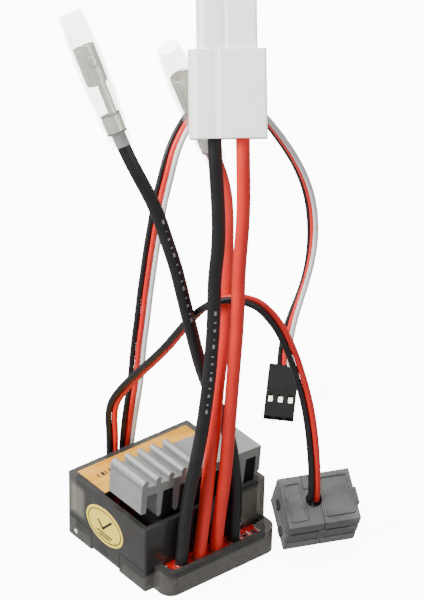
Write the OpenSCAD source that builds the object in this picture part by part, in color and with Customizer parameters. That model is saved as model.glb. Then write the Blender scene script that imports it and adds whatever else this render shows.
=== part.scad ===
// Brushed electronic speed controller for a small radio-controlled car, in millimetres.
// Origin: bottom centre of the controller itself, without its leads. +Z is up,
// +X runs along the long side and -Y is the side where the power leads are soldered.

/* [Housing] */
// Width of the housing along X
body_w = 36; // [35.5:0.1:37]
// Depth of the housing along Y, without the front tray
body_d = 30.3; // [30:0.1:31]
// Height of the cover's top face above the table
cover_top = 17.6; // [17:0.1:18.5]
// Height of the joint between the base and the cover
split_z = 5.5; // [5.5:0.1:6]
// How far the front tray stands out from the housing
tray_reach = 5.6; // [5.4:0.1:6]
// Height of the tray's rim
tray_rim_z = 6.7; // [6.3:0.1:7.2]
// Wall thickness of the base and the cover
wall = 1.3; // [1.1:0.05:1.5]

/* [Heatsink] */
// Length of the extrusion across the housing
sink_l = 35.5; // [34:0.1:35.8]
// Depth of the extrusion along Y
sink_d = 12.2; // [11:0.1:12.5]
// Lean of the extrusion towards +X, as it sits on its transistors (degrees)
sink_lean = 3.7; // [2:0.1:4.5]
// Number of fins on top
fins = 5; // [4:1:5]
// Spacing of the fins
fin_pitch = 3.72; // [3.6:0.01:4]
// Number of power transistors
transistors = 6; // [4:1:6]
// Spacing of the power transistors
transistor_pitch = 4.95; // [4.9:0.01:5]

/* [Leads] */
// Outer diameter of a power lead (16 gauge, silicone)
power_d = 3.1; // [2.9:0.05:3.2]
// Outer diameter of one core of the servo lead
servo_core_d = 1.3; // [1.2:0.05:1.4]
// Outer diameter of one core of the switch lead
switch_core_d = 1.5; // [1.4:0.05:1.6]

/* [Connectors] */
// Width of the battery plug's body
plug_w = 17; // [16:0.5:17.5]
// Height of the battery plug's body
plug_h = 19.3; // [18:0.1:20]
// Length of a bullet sleeve
sleeve_l = 31.5; // [29:0.5:32]
// Radius of a bullet socket's bore
bullet_bore_r = 2; // [1.9:0.05:2]
// Pin spacing of the servo plug
servo_pitch = 2.54; // [2.5:0.01:2.6]

/* [Switch] */
// Width of the switch box
switch_w = 17.6; // [17:0.1:18]
// Depth of the switch box
switch_d = 13.2; // [12.5:0.1:14]
// Height of the switch box
switch_h = 12.4; // [12:0.1:13]
// Travel of the slider
switch_travel = 2.5; // [2:0.1:3]

/* [Hidden] */
$fn = 32;
front_y = -(body_d + tray_reach) / 2 + tray_reach;
rear_y = front_y + body_d;
tray_y = front_y - tray_reach;
tray_left = -body_w / 2 + 2.5;
tray_right = body_w / 2 - 0.4;
board_right = 14;
tray_corner_r = 3.2;
board_t = 1.6;
board_top = split_z;
board_bottom = board_top - board_t;
floor_t = 1.5;
inner_w = body_w - 2 * wall;
tongue_front = -2.3;
tongue_l = 11;
tongue_z = 0.75;
tongue_t = 1.1;
opening_front = front_y + wall;
opening_rear = 5.3;
opening_w = body_w - 2.6;
lead_slot_z = 9.4;
lead_slot_h = 2.4;
sticker_w = 14.4;
sticker_h = 9.9;

sink_top = cover_top + 12.6;
sink_x = -body_w / 2 + 0.3;
sink_y = front_y + 1.55;
groove_d = 1.9;
slab_t = 2.4;
side_leg = 8.9;
inner_leg = 11.1;
first_transistor = 7.9;
first_fin = 1.1;
transistor_t = 3.05;
transistor_w = 10;
transistor_h = 15.8;

power_x = [-9.3, -4.1, 1.1, 6.3];
power_y = -14.9;
bullet_tube_r = 2.45;
neck_turn = -35;
plug_nose_w = 13.2;
plug_nose_h = 10.9;
plug_pin_x = [-3.1, 3.1];
latch_w = 5;
latch_y = 5.3;
latch_z = 10;
servo_plug_w = 3 * servo_pitch;

// Routes: the first and last points are the ends of each lead.
battery_black_route = [[-9.3, -14.9, 5.5], [-8.5, -14.5, 12.5], [-7.5, -14, 19.5], [-6, -14, 26.5],
    [-5, -14.5, 33.5], [-4, -15, 40.5], [-3.5, -15.5, 47.5], [-2.5, -15.5, 55], [-2.5, -16, 62],
    [-2, -16, 69], [-2, -16, 76], [-2, -16, 83], [-1.5, -16.5, 89.5], [-1.5, -16.5, 96.5],
    [-2, -16.5, 103.5], [-2.4, -16, 111], [-1.4, -14.1, 119.5]];
battery_red_route = [[1.1, -14.9, 5.5], [1.5, -15, 12.5], [2, -15.5, 19.5], [2.5, -16, 27],
    [2.5, -16.5, 34.5], [2.5, -17, 41.5], [2.5, -17.5, 49], [2.5, -18, 56], [2.5, -18.5, 63.5],
    [2.5, -19, 70.5], [2.5, -19, 77], [2.5, -19, 84], [2.5, -19.5, 90.5], [2.5, -20, 97],
    [2.5, -20, 103.5], [2.3, -19.8, 111], [3.4, -18, 119.5]];
motor_red_route = [[-4.1, -14.9, 5.5], [-3, -14.6, 11.5], [-2, -14.3, 18], [-1, -13.9, 25],
    [0, -13.5, 31.5], [1, -13.5, 38.5], [1.5, -13.3, 45], [2.5, -12.7, 51.5], [3.5, -12.5, 58],
    [4.5, -12.2, 64.5], [5, -11.8, 71], [5.5, -11.1, 77.5], [6.2, -10.1, 84], [7.2, -8.8, 90],
    [8.5, -6.7, 95], [8.6, -4.7, 100], [6, -3.5, 107.6]];
motor_black_route = [[6.3, -14.9, 5.5], [7, -14.5, 12], [7.5, -14, 19.5], [7, -13.5, 26.5],
    [6.5, -12.5, 33.5], [5, -11, 40.5], [2.5, -9.5, 47], [0.5, -8.5, 54], [-1.5, -8.5, 61.5],
    [-3, -8, 68.5], [-4.5, -7.5, 75.5], [-5.5, -6.5, 82], [-7, -5, 88.5], [-8.3, -3.7, 95],
    [-10.6, -1.8, 101.8], [-13.1, 0.6, 108.4], [-14.2, 4.6, 115.6]];

// The two thin leads are flat: a centre line, and the direction from the first core to the last.
servo_route = [[0.7, 15, 10.2], [0.7, 19, 10.8], [0.8, 20, 14.5], [1.5, 20, 20], [2.3, 20, 26],
    [3.5, 20, 32], [4.5, 20.5, 38], [5, 20.5, 44], [6, 20.5, 50], [7, 21, 56], [8, 21, 62],
    [9.3, 21.5, 68], [10.5, 21.5, 74], [12, 22, 80], [14, 22, 86], [16, 22.5, 92],
    [20, 23, 97], [25, 24, 100], [31.5, 25, 99.5], [38, 26, 96.5], [45, 27.5, 91],
    [51, 28.5, 83.5], [57, 30, 75.5], [62.5, 31, 67], [66.5, 31.5, 58], [68.5, 32, 49],
    [68.5, 32, 40], [66.5, 32, 31.5], [63, 31.9, 24], [60.9, 32.2, 16.5], [59.9, 31.2, 8.9]];
servo_side = [[1, 0, 0], [1, 0, 0], [1, -0.2, 0], [0.9, -0.4, 0], [0.8, -0.6, 0],
    [0.8, -0.6, 0], [0.8, -0.6, 0], [0.8, -0.6, 0], [0.8, -0.6, 0], [0.8, -0.6, 0], [0.8, -0.6, 0],
    [0.8, -0.6, 0], [0.8, -0.6, 0], [0.7, -0.7, 0], [0.6, -0.8, 0], [0.4, -0.9, 0],
    [0.2, -1, 0], [0.2, -1, 0], [0.2, -1, 0], [0.2, -1, 0], [0.2, -1, 0],
    [0.2, -1, 0], [0.2, -1, 0], [0.1, -1, 0], [0.1, -1, 0], [0, -1, 0],
    [-0.2, -1, 0], [-0.5, -0.9, 0], [-0.2, -1, 0], [0.3, -0.9, 0], [0.6, -0.8, 0]];
switch_route = [[-3.6, 15, 10.2], [-3.4, 19, 10.8], [-3, 20.5, 15], [-2.8, 20.5, 21],
    [-3.3, 20.5, 26], [-3.5, 19.5, 30.5], [-2.8, 17, 35], [-2, 13.5, 40], [-1.5, 9.5, 45],
    [-1, 5.5, 50], [-0.8, 1.8, 54.8], [-0.5, -1.4, 59.6], [-0.3, -4.7, 64.4], [-0.1, -8.3, 69],
    [0.5, -12, 73], [2.5, -15, 74.8], [5.5, -17, 74.5], [8.5, -18.5, 73], [11, -19.5, 70],
    [13.5, -20.5, 66], [15.5, -21.5, 61], [17.5, -22, 55.5], [19, -22.5, 50], [20.4, -23, 44.5],
    [21.4, -23.4, 39], [22.1, -23.7, 33.5], [22.5, -24, 28.5], [22.8, -24.2, 24], [23.1, -24, 20],
    [23.7, -23.4, 16.2], [24.5, -22.3, 13.8]];
switch_side = [[1, 0, 0], [1, 0, 0], [1, -0.3, 0], [0.9, -0.5, 0],
    [0.8, -0.6, 0], [0.8, -0.5, -0.2], [0.8, -0.2, -0.5], [0.7, 0, -0.7], [0.6, 0.1, -0.8],
    [0.6, 0.1, -0.8], [0.6, 0.1, -0.8], [0.6, 0.1, -0.8], [0.6, 0.2, -0.7], [0.6, 0.4, -0.6],
    [0.5, 0.6, -0.5], [0.5, 0.7, -0.2], [0.6, 0.7, 0.2], [0.7, 0.5, 0.5], [0.8, 0.1, 0.6],
    [0.8, -0.1, 0.6], [0.8, -0.3, 0.4], [0.8, -0.4, 0.3], [0.8, -0.5, 0.2], [0.8, -0.6, 0.1],
    [0.8, -0.6, 0], [0.8, -0.6, 0], [0.9, -0.5, 0], [0.9, -0.4, 0], [0.9, -0.4, 0],
    [0.92, -0.38, 0], [0.91, -0.41, 0.03]];

plug_at = [0.2, -17, 117.5];
plug_turn = [-32, -2, -39];
left_bullet_at = [-13.8, 2.4, 111.6];
left_bullet_turn = [-20.4, -22.2, -39];
rear_bullet_at = [7.3, -4.1, 103.9];
rear_bullet_turn = [5.1, -20.1, -39];
servo_plug_at = [51.7, 23.2, 1.25];
servo_plug_turn = [33.8, 2.2, -45.7];
servo_plug_l = 14.4;
servo_plug_t = 2.6;
switch_at = [26.2, -22.8, 0.35];
switch_turn = [30.6, -2, -23.2];
switch_hole_x = -1.3;

// ---- shared shapes

// A flat rectangle from a to b with round corners.
module round_rect(a, b, r) {
    translate([a[0] + r, a[1]]) square([b[0] - a[0] - 2 * r, b[1] - a[1]]);
    translate([a[0], a[1] + r]) square([b[0] - a[0], b[1] - a[1] - 2 * r]);
    for (x = [a[0] + r, b[0] - r], y = [a[1] + r, b[1] - r]) translate([x, y]) circle(r);
}

// A box from a to b, upright edges rounded.
module round_box(a, b, r) {
    translate([0, 0, a[2]]) linear_extrude(b[2] - a[2]) round_rect([a[0], a[1]], [b[0], b[1]], r);
}

module box(a, b) {
    translate(a) cube(b - a);
}

// Places a connector: roll about Y, then lean about X, then turn about Z.
module placed(at, turn) {
    translate(at) rotate([0, 0, turn[2]]) rotate([turn[0], 0, 0]) rotate([0, turn[1], 0]) children();
}

function unit(v) = v / norm(v);
function shifted(route, sides, by) = [for (i = [0:len(route) - 1]) route[i] + by * unit(sides[i])];
function thinned(route, step, extra) =
    [each [for (i = [0:step:len(route) - 1]) if (i == 0) route[i]],
        if (extra > 0) route[extra],
        each [for (i = [step:step:len(route) - 1]) route[i]]];
function heading(p, i) = unit(p[min(i + 1, len(p) - 1)] - p[max(i - 1, 0)]);
function ring(centre, along, r) =
    let (u = unit(cross(along, [1, 1, 0])), v = cross(along, u))
    [for (k = [0:7]) centre + r * (cos(45 * k) * u + sin(45 * k) * v)];

// A round lead swept along its route, with one ring of eight points at each kept point.
module lead(route, d, step) {
    p = thinned(route, step, 0);
    tube(p, d);
}

module tube(p, d) {
    last = len(p) - 1;
    points = [for (i = [0:last]) each ring(p[i], heading(p, i), d / 2)];
    lower = [for (i = [0:last - 1], k = [0:7]) [8 * i + k, 8 * i + (k + 1) % 8, 8 * (i + 1) + k]];
    upper = [for (i = [0:last - 1], k = [0:7])
        [8 * i + (k + 1) % 8, 8 * (i + 1) + (k + 1) % 8, 8 * (i + 1) + k]];
    faces = concat([[for (k = [7:-1:0]) k]], lower, upper, [[for (k = [0:7]) 8 * last + k]]);
    polyhedron(points, faces);
}

// One core of a flat lead: it keeps the point just outside the housing's slot as well.
module flat_core(route, sides, place, d) {
    tube(thinned(shifted(route, sides, place * d), 3, 1), d);
}

module servo_core(place) {
    flat_core(servo_route, servo_side, place, servo_core_d);
}

module switch_core(place) {
    flat_core(switch_route, switch_side, place, switch_core_d);
}

// ---- housing

module outer_plan() {
    round_rect([-body_w / 2, front_y], [body_w / 2, rear_y], 0.5);
}

module inner_plan() {
    round_rect([-inner_w / 2, front_y + wall], [inner_w / 2, rear_y - wall], 0.4);
}

module tray_plan(inset_side, inset_front) {
    round_rect([tray_left + inset_side, tray_y + inset_front],
        [tray_right - inset_side, front_y + 4], tray_corner_r - inset_front);
}

// Room for the cover's snap tongues on both ends.
module tongue_slots(gap) {
    for (side = [-1, 1])
        translate([side * (body_w / 2 - tongue_t / 2 + 0.5), tongue_front + tongue_l / 2, 0])
            translate([0, 0, (tongue_z + split_z) / 2 - 0.5])
                cube([tongue_t + 1 + 2 * gap, tongue_l + 2 * gap, split_z - tongue_z + 1 + 2 * gap],
                    center = true);
}

module base_tray() {
    color([0.2, 0.2, 0.19]) difference() {
        union() {
            linear_extrude(split_z) outer_plan();
            linear_extrude(split_z) tray_plan(0, 0);
            linear_extrude(tray_rim_z) intersection() {
                tray_plan(0, 0);
                translate([-body_w, tray_y]) square([2 * body_w, tray_reach - 0.05]);
            }
        }
        // the floor inside the housing, with a ledge that the board rests on
        translate([0, 0, floor_t]) linear_extrude(split_z) intersection() {
            inner_plan();
            translate([-body_w, front_y + 3]) square([2 * body_w, body_d]);
        }
        translate([0, 0, board_bottom]) linear_extrude(split_z) inner_plan();
        translate([0, 0, board_bottom]) linear_extrude(tray_rim_z) tray_plan(2, 1.15);
        tongue_slots(0.12);
        box([-8.2, rear_y - wall - 1, 4.6], [5.2, rear_y + 1, 8]);
    }
}

module top_cover() {
    color([0.22, 0.22, 0.21]) difference() {
        union() {
            translate([0, 0, split_z]) linear_extrude(cover_top - split_z) outer_plan();
            // snap tongues that hook over the base
            for (side = [-1, 1])
                translate([side > 0 ? body_w / 2 - tongue_t : -body_w / 2, tongue_front, tongue_z])
                    cube([tongue_t, tongue_l, split_z - tongue_z + 1]);
        }
        translate([0, 0, split_z - 0.1])
            linear_extrude(cover_top - split_z - 1.1) inner_plan();
        // the opening for the transistors and their heatsink
        box([-opening_w / 2, opening_front, cover_top - 3], [opening_w / 2, opening_rear, cover_top + 1]);
        // the slot for the servo and switch leads
        box([-5.6, rear_y - wall - 0.5, lead_slot_z], [3.3, rear_y + 1, lead_slot_z + lead_slot_h]);
    }
}

module circuit_board() {
    color([0.75, 0.05, 0.04]) difference() {
        translate([0, 0, board_bottom]) linear_extrude(board_t) {
            translate([-inner_w / 2 + 0.15, front_y + wall + 0.15])
                square([inner_w - 0.3, body_d - 2 * wall - 0.3]);
            translate([tray_left + 2.15, tray_y + 1.3])
                square([board_right - tray_left - 2.15, tray_reach + 3]);
        }
        for (x = [9.8, 12.6])
            translate([x, power_y, board_bottom - 1]) cylinder(r = 0.5, h = board_t + 2);
    }
}

// ---- power stage

module on_sink() {
    translate([sink_x, sink_y, sink_top]) rotate([0, sink_lean, 0]) children();
}

function leg_u(i) = first_transistor + (i - 0.5) * transistor_pitch;

module sink_profile() {
    slab_bottom = -groove_d - slab_t;
    translate([0, slab_bottom]) square([sink_l, slab_t]);
    // outer walls with round corners
    translate([0, -side_leg + 0.4]) square([1.6, side_leg - 1.2]);
    translate([0.4, -side_leg]) square([0.8, 1]);
    for (x = [0.4, 1.2]) translate([x, -side_leg + 0.4]) circle(0.4);
    translate([sink_l - 1.4, -side_leg + 0.4]) square([1.4, side_leg - groove_d - 1.4]);
    translate([sink_l - 0.7, -side_leg + 0.7]) circle(0.7);
    // legs between the transistors
    for (i = [0:transistors - 1])
        polygon([[leg_u(i) - 0.92, slab_bottom + 0.1], [leg_u(i) - 0.6, -inner_leg + 0.5],
            [leg_u(i), -inner_leg], [leg_u(i) + 0.6, -inner_leg + 0.5], [leg_u(i) + 0.92, slab_bottom + 0.1]]);
    // fins with rounded tips
    for (i = [0:fins - 1]) translate([first_fin + i * fin_pitch, 0]) {
        translate([-0.62, -groove_d - 0.1]) square([1.24, groove_d - 0.6]);
        translate([0, -0.8]) circle(0.8);
    }
}

module heatsink() {
    color([0.62, 0.63, 0.62]) on_sink()
        translate([0, sink_d, 0]) rotate([90, 0, 0]) linear_extrude(sink_d) sink_profile();
}

module power_transistors() {
    color([0.06, 0.06, 0.06]) on_sink()
        for (i = [0:transistors - 1])
            translate([first_transistor + i * transistor_pitch - transistor_t / 2, 0.3,
                -groove_d - slab_t - 0.1 - transistor_h])
                cube([transistor_t, transistor_w, transistor_h]);
}

// Three legs a transistor, from its underside straight down into the board.
module transistor_legs() {
    drop = groove_d + slab_t + 0.1 + transistor_h;
    color([0.75, 0.75, 0.77])
        for (i = [0:transistors - 1], k = [-1:1]) {
            u = first_transistor + i * transistor_pitch;
            x = sink_x + u * cos(sink_lean) - drop * sin(sink_lean);
            z = sink_top - u * sin(sink_lean) - drop * cos(sink_lean);
            y = sink_y + 0.3 + transistor_w / 2 + k * 2.54;
            box([x - 0.25, y - 0.4, board_top], [x + 0.25, y + 0.4, z + 0.05]);
        }
}

// ---- board parts

module smoothing_capacitors() {
    for (x = [-11.5, 12])
        translate([x, 11.5, board_top]) {
            color([0.1, 0.12, 0.3]) cylinder(r = 4, h = 8.6);
            color([0.8, 0.8, 0.82]) translate([0, 0, 8.6]) cylinder(r = 3.4, h = 0.3);
        }
}

module voltage_regulator() {
    color([0.08, 0.08, 0.08]) box([-4.5, 6, board_top], [2.1, 12.1, board_top + 2.3]);
    color([0.8, 0.8, 0.82]) box([-4, 12.1, board_top], [1.6, 13.2, board_top + 1]);
}

module microcontroller() {
    color([0.08, 0.08, 0.08]) box([3.4, 5, board_top + 0.3], [7.4, 11, board_top + 1.8]);
    color([0.8, 0.8, 0.82])
        for (i = [0:6], x = [2.9, 7.4])
            box([x, 5.3 + i * 0.85, board_top], [x + 0.5, 5.7 + i * 0.85, board_top + 1]);
}

module small_components() {
    color([0.6, 0.5, 0.35])
        for (i = [0:4], j = [0:1])
            translate([-15.4 + i * 2, 3.2 + j * 2.2, board_top]) cube([1.2, 0.8, 0.6]);
    color([0.15, 0.15, 0.15])
        for (i = [0:2])
            translate([9.5 + i * 2.4, 4, board_top]) cube([1.3, 2, 0.7]);
}

module solder_joints() {
    color([0.8, 0.8, 0.82])
        for (x = power_x)
            translate([x, power_y, board_top]) difference() {
                cylinder(r1 = 1.85, r2 = 1.6, h = 0.7);
                translate([0, 0, -0.5]) cylinder(r = 1.5, h = 2);
            }
}

module top_label() {
    color([0.9, 0.62, 0.22])
        box([-16.3, opening_rear + 0.1, cover_top], [16.3, rear_y - 1.6, cover_top + 0.12]);
}

module inspection_sticker() {
    color([0.95, 0.85, 0.45])
        translate([-body_w / 2, 3.3, 9.9]) rotate([0, -90, 0]) rotate([0, 0, 90])
            linear_extrude(0.12)
                polygon([for (a = [0:7.5:352.5]) [sticker_w / 2 * cos(a), sticker_h / 2 * sin(a)]]);
}

// ---- leads

module battery_lead_black() {
    color([0.08, 0.08, 0.08]) lead(battery_black_route, power_d, 2);
}

module battery_lead_red() {
    color([0.85, 0.08, 0.06]) lead(battery_red_route, power_d, 2);
}

module motor_lead_red() {
    color([0.85, 0.08, 0.06]) lead(motor_red_route, power_d, 2);
}

module motor_lead_black() {
    color([0.08, 0.08, 0.08]) lead(motor_black_route, power_d, 2);
}

module servo_core_black() {
    color([0.08, 0.08, 0.08]) servo_core(-1);
}

module servo_core_red() {
    color([0.85, 0.08, 0.06]) servo_core(0);
}

module servo_core_white() {
    color([0.92, 0.92, 0.9]) servo_core(1);
}

module switch_core_black() {
    color([0.08, 0.08, 0.08]) switch_core(-0.5);
}

module switch_core_red() {
    color([0.85, 0.08, 0.06]) switch_core(0.5);
}

// ---- battery plug

module battery_plug_housing() {
    color([0.93, 0.93, 0.9]) placed(plug_at, plug_turn) difference() {
        union() {
            round_box([-plug_w / 2, -3.7, 0], [-1.4, 3.9, plug_h], 2.6);
            round_box([-2, -4.2, 0], [plug_w / 2, 3.9, plug_h], 0.6);
            round_box([-plug_nose_w / 2, -3.4, plug_h - 1], [0.3, 3.4, plug_h + plug_nose_h], 2.2);
            round_box([-0.3, -3.4, plug_h - 1], [plug_nose_w / 2, 3.4, plug_h + plug_nose_h], 0.6);
            // ears that carry the latch
            for (x = [-latch_w / 2 - 1.5, latch_w / 2 + 0.3])
                box([x, 3.5, 8], [x + 1.2, latch_y + 1.4, 12]);
        }
        for (x = plug_pin_x) {
            translate([x, 0, -1]) cylinder(r = 1.8, h = 9);
            translate([x, 0, 6]) cylinder(r = 1.75, h = plug_h + plug_nose_h);
        }
        // pivot holes for the latch
        translate([-6, latch_y, latch_z]) rotate([0, 90, 0]) cylinder(r = 0.6, h = 12);
    }
}

module battery_plug_pins() {
    color([0.8, 0.78, 0.7]) placed(plug_at, plug_turn)
        for (x = plug_pin_x)
            translate([x, 0, 9]) {
                difference() {
                    cylinder(r = 1.7, h = 17.5);
                    translate([0, 0, 1.5]) cylinder(r = 1.15, h = 20);
                }
            }
}

module battery_plug_latch() {
    color([0.93, 0.93, 0.9]) placed(plug_at, plug_turn) {
        box([-latch_w / 2, latch_y - 0.6, 2.5], [latch_w / 2, latch_y + 0.6, 24]);
        box([-latch_w / 2, latch_y - 1, 22.8], [latch_w / 2, latch_y, 24]);
        translate([-latch_w / 2 - 1.3, latch_y, latch_z]) rotate([0, 90, 0])
            cylinder(r = 0.55, h = latch_w + 2.6);
    }
}

// ---- bullet connectors

// A soft sleeve, tapered at the lead's end and a little narrower at its mouth.
module bullet_sleeve() {
    outer = [[2.4, 0], [2.55, 3.5], [2.9, 5], [2.95, 9], [3.35, 12], [3.4, 20], [3.1, 27],
        [2.6, sleeve_l]];
    inner = [[2.2, sleeve_l], [2.7, 27], [2.9, 20], [2.85, 12.5], [2.45, 9.5], [2.4, 4.8],
        [1.75, 3.2], [1.7, 0]];
    rotate_extrude($fn = 48) polygon(concat(outer, inner));
}

module bullet_socket() {
    // the barrel that takes the motor's pin
    translate([0, 0, 15]) difference() {
        cylinder(r = bullet_tube_r, h = 8.8);
        translate([0, 0, 0.8]) cylinder(r = bullet_bore_r, h = 10);
        rotate([0, 0, neck_turn]) box([0, -1, 4.6], [3, 1, 7.4]);
    }
    // the neck and the crimp that holds the lead
    rotate([0, 0, neck_turn]) box([1.35, -1.1, 7], [2.15, 1.1, 15.6]);
    translate([0, 0, 3.6]) difference() {
        cylinder(r = 2.15, h = 3.9);
        translate([0, 0, -1]) cylinder(r = 1.4, h = 7);
    }
}

module left_bullet_sleeve() {
    color([0.9, 0.9, 0.9, 0.4]) placed(left_bullet_at, left_bullet_turn) bullet_sleeve();
}

module left_bullet_socket() {
    color([0.75, 0.72, 0.65]) placed(left_bullet_at, left_bullet_turn) bullet_socket();
}

module rear_bullet_sleeve() {
    color([0.9, 0.9, 0.9, 0.4]) placed(rear_bullet_at, rear_bullet_turn) bullet_sleeve();
}

module rear_bullet_socket() {
    color([0.75, 0.72, 0.65]) placed(rear_bullet_at, rear_bullet_turn) bullet_socket();
}

// ---- servo plug: its mating end is at y = 0 and the cores enter at the far end

module servo_plug_housing() {
    color([0.07, 0.07, 0.07]) placed(servo_plug_at, servo_plug_turn) difference() {
        box([-servo_plug_w / 2, 0, -servo_plug_t / 2], [servo_plug_w / 2, servo_plug_l, servo_plug_t / 2]);
        for (i = [-1:1]) {
            box([i * servo_pitch - 0.7, -1, -0.7], [i * servo_pitch + 0.7, servo_plug_l + 1, 0.7]);
            box([i * servo_pitch - 0.6, 4, 0], [i * servo_pitch + 0.6, 6, 2]);
        }
    }
}

module servo_plug_contacts() {
    color([0.85, 0.8, 0.6]) placed(servo_plug_at, servo_plug_turn)
        for (i = [-1:1]) difference() {
            box([i * servo_pitch - 0.65, 0.6, -0.65], [i * servo_pitch + 0.65, 8, 0.65]);
            box([i * servo_pitch - 0.35, 0, -0.35], [i * servo_pitch + 0.35, 7, 0.35]);
        }
}

// ---- switch: the leads enter at the top and the slider stands out below

module switch_half(side) {
    half = switch_w / 2;
    lo = side < 0 ? -half : 0.05;
    hi = side < 0 ? -0.05 : half;
    difference() {
        union() {
            box([lo, 0.9, 0], [hi, switch_d, switch_h]);
            // ribs along the front
            for (z = [0, 4.4, 8.8]) box([lo, 0, z], [hi, 1, z + 3.6]);
        }
        box([-half + 1.2, 1.9, 1], [half - 1.2, switch_d - 1, switch_h - 1]);
        // the slider's window below and the leads' hole above
        box([-5, 5.2, -1], [5, 9.6, 2]);
        translate([switch_hole_x, 6.6, switch_h - 2]) cylinder(r = 1.9, h = 4);
    }
}

module switch_shell_left() {
    color([0.25, 0.25, 0.24]) placed(switch_at, switch_turn) switch_half(-1);
}

module switch_shell_right() {
    color([0.25, 0.25, 0.24]) placed(switch_at, switch_turn) switch_half(1);
}

module switch_body() {
    color([0.7, 0.7, 0.72]) placed(switch_at, switch_turn) difference() {
        box([-6, 3.8, 1.1], [6, 10.8, 7]);
        box([-4.6, 5.2, 0], [4.6, 9.6, 4.2]);
    }
}

module switch_slider() {
    color([0.08, 0.08, 0.08]) placed(switch_at, switch_turn) {
        box([-3.2, 5.5, 1.9], [0.9, 9.3, 3.9]);
        box([-2.4, 5.9, -3], [0.1, 8.7, 2]);
    }
}

module switch_terminals() {
    color([0.8, 0.78, 0.7]) placed(switch_at, switch_turn)
        for (x = [-3, 0, 3]) box([x - 0.7, 7.9, 7], [x + 0.7, 8.3, 9.6]);
}

base_tray();
top_cover();
circuit_board();
heatsink();
power_transistors();
transistor_legs();
smoothing_capacitors();
voltage_regulator();
microcontroller();
small_components();
solder_joints();
top_label();
inspection_sticker();
battery_lead_black();
battery_lead_red();
motor_lead_red();
motor_lead_black();
servo_core_black();
servo_core_red();
servo_core_white();
switch_core_black();
switch_core_red();
battery_plug_housing();
battery_plug_pins();
battery_plug_latch();
left_bullet_sleeve();
left_bullet_socket();
rear_bullet_sleeve();
rear_bullet_socket();
servo_plug_housing();
servo_plug_contacts();
switch_shell_left();
switch_shell_right();
switch_body();
switch_slider();
switch_terminals();
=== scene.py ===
"""Looks of the electronic speed controller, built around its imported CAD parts. Metres, +Z up."""

import math

import bmesh
import bpy
from mathutils import Matrix, Vector


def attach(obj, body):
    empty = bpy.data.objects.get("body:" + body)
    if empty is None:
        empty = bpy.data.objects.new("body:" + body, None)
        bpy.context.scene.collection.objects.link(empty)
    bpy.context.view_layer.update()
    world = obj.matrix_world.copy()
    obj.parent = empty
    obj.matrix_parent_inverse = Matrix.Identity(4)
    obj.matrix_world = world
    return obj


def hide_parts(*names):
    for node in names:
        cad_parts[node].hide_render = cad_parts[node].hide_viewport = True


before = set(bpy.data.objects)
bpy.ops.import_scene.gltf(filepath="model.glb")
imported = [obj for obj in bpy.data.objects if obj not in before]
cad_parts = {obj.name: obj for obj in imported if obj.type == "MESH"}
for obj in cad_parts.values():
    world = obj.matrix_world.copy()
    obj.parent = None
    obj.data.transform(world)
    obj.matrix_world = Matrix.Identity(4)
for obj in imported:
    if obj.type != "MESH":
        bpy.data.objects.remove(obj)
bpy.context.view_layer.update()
MM = 0.001

# ---- camera

AZIMUTH, ELEVATION, ROLL = (math.radians(a) for a in (39.1, 32.1, 1.2))
DISTANCE = 0.741
LENS = 191.5
TARGET = Vector((0.0127, 0.0028, 0.0616))


def make_camera():
    """A long lens, from the object's front left, that looks down on it and is rolled a little."""
    back = Vector((
        -math.sin(AZIMUTH) * math.cos(ELEVATION),
        -math.cos(AZIMUTH) * math.cos(ELEVATION),
        math.sin(ELEVATION),
    ))
    level = Vector((math.cos(AZIMUTH), -math.sin(AZIMUTH), 0))
    upward = back.cross(level)
    right = level * math.cos(ROLL) + upward * math.sin(ROLL)
    up = upward * math.cos(ROLL) - level * math.sin(ROLL)
    data = bpy.data.cameras.new("camera")
    data.lens = LENS
    data.sensor_width = 36
    data.clip_start, data.clip_end = 0.01, 20
    camera = bpy.data.objects.new("camera", data)
    bpy.context.scene.collection.objects.link(camera)
    turn = Matrix((right, up, back)).transposed().to_4x4()
    camera.matrix_world = Matrix.Translation(TARGET + back * DISTANCE) @ turn
    bpy.context.scene.camera = camera


make_camera()

# ---- materials


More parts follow.
